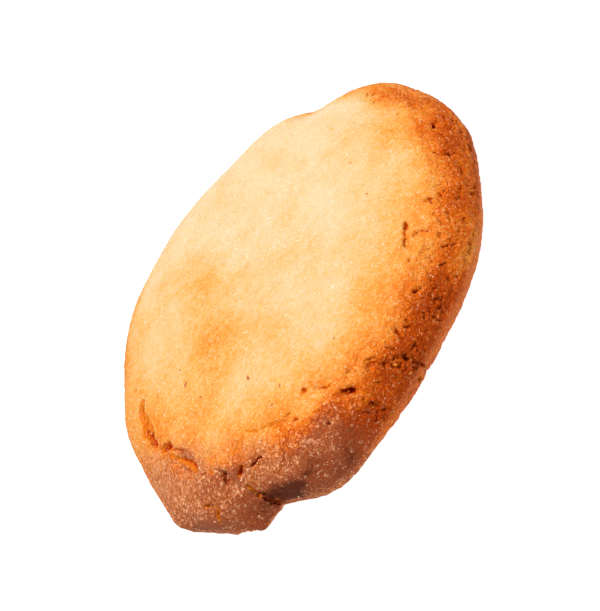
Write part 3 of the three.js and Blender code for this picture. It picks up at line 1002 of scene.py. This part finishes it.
def random_turn(rng):
    quarter = rng.normal(size=4)
    return Quaternion(quarter / np.linalg.norm(quarter))


def seat_turn(normal, spin):
    """A turn that lays a grain's flat side on the crust, its length this far round from +X."""
    return Vector((0, 0, 1)).rotation_difference(normal) @ Quaternion((0, 0, 1), spin)


def crust_triangles():
    """The corners of the crust's triangles in millimetres, and how baked each triangle is."""
    mesh = bpy.data.objects[CRUST].data
    mesh.calc_loop_triangles()
    corners = gathered(mesh.loop_triangles, "vertices", 3, np.int32)
    points = gathered(mesh.vertices, "co", 3)
    baked = gathered(mesh.attributes["browning"].data, "value", 1)
    return points[corners] / MM, baked[corners[:, 0], 0]


# ---- settings --------------------------------------------------------------------------

BAKES = ("pale", "straw", "golden", "amber", "brown", "deep")


def setting(name, description, default, **kind):
    return bpy.props.FloatProperty(name=name, description=description, default=default, **kind)


def tint(name, description, default):
    return bpy.props.FloatVectorProperty(
        name=name, description=description, default=default, subtype="COLOR", size=3, min=0.0, max=1.0
    )


class SHORTBREAD_PG_crust(bpy.types.PropertyGroup):
    """Sizes of the crust's mesh and its colours."""

    grid: setting("Grid", "Spacing of the crust's fine mesh", 0.0002, precision=5, unit="LENGTH")
    rounding: bpy.props.IntProperty(
        name="Rounding", description="How many times the plain body is smoothed", default=30
    )
    crack_depth: setting("Crack depth", "Scales the depth of the fine cracks", 1.0, subtype="FACTOR")
    solid_cracks: setting(
        "Solid cracks", "Share kept of the depth of the solid's own cracks", 0.4, subtype="FACTOR"
    )
    triangles: bpy.props.IntProperty(
        name="Triangles", description="Most triangles in the crust", default=196000
    )
    pale: tint("Pale", "The least baked skin", (0.75, 0.56, 0.33))
    straw: tint("Straw", "Lightly baked skin", (0.75, 0.47, 0.2))
    golden: tint("Golden", "Golden skin", (0.8, 0.37, 0.08))
    amber: tint("Amber", "The shoulder", (0.83, 0.255, 0.03))
    brown: tint("Brown", "The baked wall", (0.71, 0.133, 0.006))
    deep: tint("Deep brown", "The most baked wall", (0.44, 0.055, 0.002))
    ashen: tint("Ashen brown", "The duller brown of the front lobe", (0.63, 0.235, 0.1))
    sooty: tint("Sooty brown", "The darker grain among the ashen brown", (0.32, 0.092, 0.036))
    # Partly painted light thrown up from the floor.
    ruddy: tint("Ruddy", "The band along the base", (0.76, 0.2, 0.06))
    # Light sugar grains, and painted glints.
    sugar_and_glint: tint("Sugared grain", "Light grains in the crust", (0.93, 0.56, 0.32))
    crumb: tint("Crumb", "Open crumb inside the cracks", (0.7, 0.18, 0.004))
    # Painted shade: open crumb further down the cracks, and the bottom of the deep ones.
    crumb_in_shade: tint("Ember", "Open crumb further down the cracks", (0.66, 0.1, 0.002))
    crack_bottom_shade: tint("Cleft", "The bottom of the deep cracks", (0.42, 0.022, 0.0005))
    # Painted shade: the colour that the cracks' narrow bottoms are multiplied by.
    shaded: tint("Shaded", "What the narrow bottoms of cracks are darkened by", (0.66, 0.25, 0.03))
    # The burnt fold's colour, also painted as shade under the fold and in the grooves.
    scorched: tint("Scorched", "The burnt fold", (0.115, 0.022, 0.007))


class SHORTBREAD_PG_grains(bpy.types.PropertyGroup):
    """Sugar, flecks and crumbs."""

    crystals: bpy.props.IntProperty(name="Crystals", description="Number of sugar crystals", default=2800)
    smallest: setting("Smallest crystal", "Its breadth", 0.0001, precision=5, unit="LENGTH")
    largest: setting("Largest crystal", "Its breadth", 0.00026, precision=5, unit="LENGTH")
    sugar: tint("Sugar", "The crystals", (1.0, 0.93, 0.78))
    toffee: tint("Toffee", "The crystals on the baked wall", (0.95, 0.6, 0.3))
    toasted: tint("Toasted fleck", "Reddish flecks", (0.6, 0.17, 0.06))
    lemon: tint("Yellow fleck", "Yellow flecks", (0.9, 0.6, 0.05))
    loose: tint("Loose crumb", "Crumbs on the crust", (0.72, 0.2, 0.02))


class SHORTBREAD_PG_stage(bpy.types.PropertyGroup):
    """The floor, the light and the camera."""

    floor: tint("Floor", "The pale floor", (0.2, 0.2, 0.2))
    glow: setting("Glow", "Light that comes through the floor", 0.97)
    key: setting("Key", "Light overhead", 11.6, unit="POWER")
    fill: setting("Fill", "Light all round", 0.3)
    elevation: setting("Elevation", "Camera above the floor", math.radians(34), subtype="ANGLE")
    roll: setting("Roll", "How far the camera is turned", math.radians(54), subtype="ANGLE")
    distance: setting("Distance", "From the camera to the biscuit", 0.2652, unit="LENGTH")


# ---- operators -------------------------------------------------------------------------


def add_piece(name, mesh, material):
    """Adds a piece that moves with the biscuit, with the finish it is given."""
    mesh.materials.clear()
    mesh.materials.append(material)
    piece = add_object(name, mesh)
    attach(piece, "root")
    return piece


class SHORTBREAD_OT_crust(bpy.types.Operator):
    """Builds the baked crust over the plain solid"""

    bl_idname = "shortbread.crust"
    bl_label = "Baked crust"

    def execute(self, context):
        settings = context.scene.shortbread_crust
        mesh = build_crust(settings)
        crust = add_piece(CRUST, mesh, crust_finish(settings))
        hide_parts(NODE)
        return {"FINISHED"}


class SHORTBREAD_OT_sugar(bpy.types.Operator):
    """Scatters the sugar crystals that sparkle on the crust, helped by a painted glow"""

    bl_idname = "shortbread.sugar"
    bl_label = "Sugar crystals"

    # Where they lie thickest: x, y, breadth in millimetres, and how much more.
    THICKEST = ((2.2, 15.6, 7, 3), (13.2, -4.2, 7, 1.6), (4, 4, 8, 1.5), (-6, 3, 6, 1))
    STONES = 8
    CORNERS = 9
    FLATNESS = 0.8
    RAISED = 0.12

    def execute(self, context):
        settings = context.scene.shortbread_grains
        rng = np.random.default_rng(11)
        triangles, baked = crust_triangles()
        middles = triangles.mean(1)
        cross = np.cross(triangles[:, 1] - triangles[:, 0], triangles[:, 2] - triangles[:, 0])
        area = np.linalg.norm(cross, axis=1)
        normals = cross / np.maximum(area, 1e-12)[:, None]
        # Thickest in patches of the top, fewer on the steep wall, and none at the base.
        height = middles[:, 2]
        wanted = 1 + round_spots(middles, self.THICKEST) * (height > 5)
        wanted *= (0.06 + 0.94 * rise(normals[:, 2], 0.3, 0.95)) * (height > 0.4)
        weight = area * wanted
        chosen = rng.choice(len(middles), settings.crystals, p=weight / weight.sum())
        stones = [rough_stone(rng, self.CORNERS, self.FLATNESS) for _ in range(self.STONES)]
        seats = []
        for k, t in enumerate(chosen):
            size = (settings.smallest + (settings.largest - settings.smallest) * rng.random() ** 2) / MM
            middle = middles[t] + normals[t] * self.RAISED * size
            seats.append((stones[k % len(stones)], size, random_turn(rng), middle))
        mesh = grains_mesh("sugar_crystals", seats)
        toasting = np.repeat(baked[chosen], [len(seat[0][0]) for seat in seats])
        store(mesh, "browning", toasting)
        add_piece("sugar_crystals", mesh, sugar_finish(settings))
        return {"FINISHED"}


class SHORTBREAD_OT_flecks(bpy.types.Operator):
    """Adds the toasted and the yellow flecks"""

    bl_idname = "shortbread.flecks"
    bl_label = "Flecks"

    # x, y, length and breadth in millimetres, and the way it points in degrees.
    TOASTED = (
        (-13.5, -16.6, 1.5, 0.6, 62),
        (-20.7, -2.1, 1.4, 0.6, 20),
        (-20.4, -8.2, 0.6, 0.4, 40),
        (-14.2, -25.1, 0.6, 0.4, 0),
        (-11.4, -23.9, 0.6, 0.4, 60),
        (18.8, -11.9, 0.6, 0.4, 90),
        (-19.5, 1.2, 0.4, 0.3, 30),
        (-1.4, -27.0, 0.5, 0.3, 0),
    )
    YELLOW = ((-10.9, -23.3, 0.6, 0.4, 60), (-4.2, -6.4, 1.0, 0.4, 60), (2.6, -17.0, 0.5, 0.3, 70))

    def execute(self, context):
        settings = context.scene.shortbread_grains
        rng = np.random.default_rng(5)
        tree = BVHTree.FromObject(bpy.data.objects[CRUST], context.evaluated_depsgraph_get())
        for name, rows, colour in (
            ("toasted_flecks", self.TOASTED, settings.toasted),
            ("yellow_flecks", self.YELLOW, settings.lemon),
        ):
            seats = []
            for x, y, length, breadth, heading in rows:
                hit, normal, _, _ = tree.ray_cast(Vector((x, y, 40)) * MM, Vector((0, 0, -1)))
                if hit is None:
                    raise RuntimeError(f"no crust under a fleck at {x}, {y}")
                corners, sides = rough_stone(rng, 22, 0.35)
                turn = seat_turn(normal, math.radians(heading))
                seats.append(((corners * (length, breadth, breadth), sides), 1.0, turn, hit / MM))
            add_piece(name, grains_mesh(name, seats), grain_finish(name, colour, 0.6))
        return {"FINISHED"}


class SHORTBREAD_OT_crumbs(bpy.types.Operator):
    """Adds the crumbs that cling to the cracks and the base"""

    bl_idname = "shortbread.crumbs"
    bl_label = "Crumbs"

    # Place, how far they scatter in millimetres, number and size.
    PATCHES = (
        ((218, 1.46), 0.8, 3, 0.8),
        ((219, 1.77), 0.8, 3, 0.8),
        ((214.0, 0.78), 0.6, 5, 0.5),
        ((259.3, 0.61), 0.2, 1, 0.9),
        ((271.2, 0.78), 0.3, 1, 0.9),
        ((271.9, 0.95), 0.3, 1, 1.0),
        ((260.9, 0.86), 0.2, 1, 0.7),
        ((271.5, 0.62), 0.4, 2, 0.6),
        ((265, 0.72), 2.5, 8, 0.5),
        ((199, 0.47), 1.6, 5, 0.4),
        ((226, 0.9), 1.0, 4, 0.4),
    )

    def execute(self, context):
        settings = context.scene.shortbread_grains
        rng = np.random.default_rng(23)
        graph = context.evaluated_depsgraph_get()
        places = Places(BVHTree.FromObject(bpy.data.objects[CRUST], graph), MM)
        seats = []
        for place, spread, count, size in self.PATCHES:
            centre, _ = places.point(*place)
            for _ in range(count):
                near = centre + Vector(rng.normal(size=3)) * spread * 0.6
                hit, normal, _, _ = places.tree.find_nearest(near * MM)
                breadth = size * rng.uniform(0.6, 1.0)
                middle = hit / MM
                middle.z = max(middle.z, 0.6 * breadth)
                seats.append((rough_stone(rng, 16, 0.8), breadth, random_turn(rng), middle))
        mesh = grains_mesh("crumbs", seats)
        add_piece("crumbs", mesh, grain_finish("crumb", settings.loose, 0.8))
        return {"FINISHED"}


class SHORTBREAD_OT_stage(bpy.types.Operator):
    """Sets up the pale floor, the soft light and the camera"""

    bl_idname = "shortbread.stage"
    bl_label = "Stage"

    FLOOR_HALF = 1.5
    FLOOR_HEIGHT = -0.02 * MM
    KEY_PLACE = Vector((0.03, -0.08, 1.0))
    KEY_SIZE = 0.12
    TARGET = Vector((-0.470, -2.276, 2.894)) * MM
    LENS = 100.0
    SENSOR = 36.0

    def execute(self, context):
        settings = context.scene.shortbread_stage
        self.add_floor(settings)
        self.add_key(settings.key)
        self.set_world(context.scene, settings)
        self.add_camera(context.scene, settings)
        context.scene.view_settings.view_transform = "Standard"
        return {"FINISHED"}

    def add_floor(self, settings):
        half = self.FLOOR_HALF
        corners = [(-half, -half, 0), (half, -half, 0), (half, half, 0), (-half, half, 0)]
        mesh = bpy.data.meshes.new("floor")
        mesh.from_pydata(corners, [], [(0, 1, 2, 3)])
        material = Paint("floor").finish(
            Base_Color=(*settings.floor, 1.0),
            Roughness=0.9,
            Emission_Color=(1.0, 1.0, 1.0, 1.0),
            Emission_Strength=settings.glow,
        )
        mesh.materials.append(material)
        floor = add_object("floor", mesh)
        floor.location.z = self.FLOOR_HEIGHT

    def add_key(self, power):
        light = bpy.data.lights.new("key", "AREA")
        light.energy, light.size = power, self.KEY_SIZE
        obj = add_object("key", light)
        obj.location = self.KEY_PLACE
        obj.rotation_euler = self.KEY_PLACE.to_track_quat("Z", "Y").to_euler()

    def set_world(self, scene, settings):
        world = bpy.data.worlds.new("studio")
        world.use_nodes = True
        background = world.node_tree.nodes["Background"]
        background.inputs["Color"].default_value = (1, 1, 1, 1)
        background.inputs["Strength"].default_value = settings.fill
        scene.world = world

    def add_camera(self, scene, settings):
        camera = bpy.data.cameras.new("camera")
        camera.lens, camera.sensor_width, camera.sensor_fit = self.LENS, self.SENSOR, "AUTO"
        camera.clip_start, camera.clip_end = 0.01, 10
        tilt, roll = settings.elevation, settings.roll
        right = Vector((1, 0, 0))
        up = Vector((0, math.sin(tilt), math.cos(tilt)))
        back = Vector((0, -math.cos(tilt), math.sin(tilt)))
        across = right * math.cos(roll) - up * math.sin(roll)
        upright = right * math.sin(roll) + up * math.cos(roll)
        turn = Matrix((across, upright, back)).transposed().to_4x4()
        obj = add_object("camera", camera)
        obj.matrix_world = Matrix.Translation(self.TARGET + back * settings.distance) @ turn
        scene.camera = obj


class SHORTBREAD_PT_pieces(bpy.types.Panel):
    """Lists the biscuit's settings and the steps that build it"""

    bl_idname = "SHORTBREAD_PT_pieces"
    bl_label = "Shortbread biscuit"
    bl_space_type = "VIEW_3D"
    bl_region_type = "UI"
    bl_category = "Shortbread"

    def draw(self, context):
        layout = self.layout
        for name, (_, operators) in STEPS.items():
            settings = getattr(context.scene, name)
            box = layout.box()
            for key in settings.__annotations__:
                box.prop(settings, key)
            for operator in operators:
                box.operator(operator.bl_idname)


# The scene's settings, each with its group and the operators that use it.
STEPS = {
    "shortbread_crust": (SHORTBREAD_PG_crust, (SHORTBREAD_OT_crust,)),
    "shortbread_grains": (
        SHORTBREAD_PG_grains,
        (SHORTBREAD_OT_sugar, SHORTBREAD_OT_flecks, SHORTBREAD_OT_crumbs),
    ),
    "shortbread_stage": (SHORTBREAD_PG_stage, (SHORTBREAD_OT_stage,)),
}


def register():
    for name, (group, operators) in STEPS.items():
        bpy.utils.register_class(group)
        setattr(bpy.types.Scene, name, bpy.props.PointerProperty(type=group))
        for operator in operators:
            bpy.utils.register_class(operator)
    bpy.utils.register_class(SHORTBREAD_PT_pieces)


def unregister():
    bpy.utils.unregister_class(SHORTBREAD_PT_pieces)
    for name, (group, operators) in STEPS.items():
        for operator in operators:
            bpy.utils.unregister_class(operator)
        delattr(bpy.types.Scene, name)
        bpy.utils.unregister_class(group)


def main():
    register()
    bpy.ops.shortbread.crust()
    bpy.ops.shortbread.sugar()
    bpy.ops.shortbread.flecks()
    bpy.ops.shortbread.crumbs()
    bpy.ops.shortbread.stage()


if __name__ == "__main__":
    main()
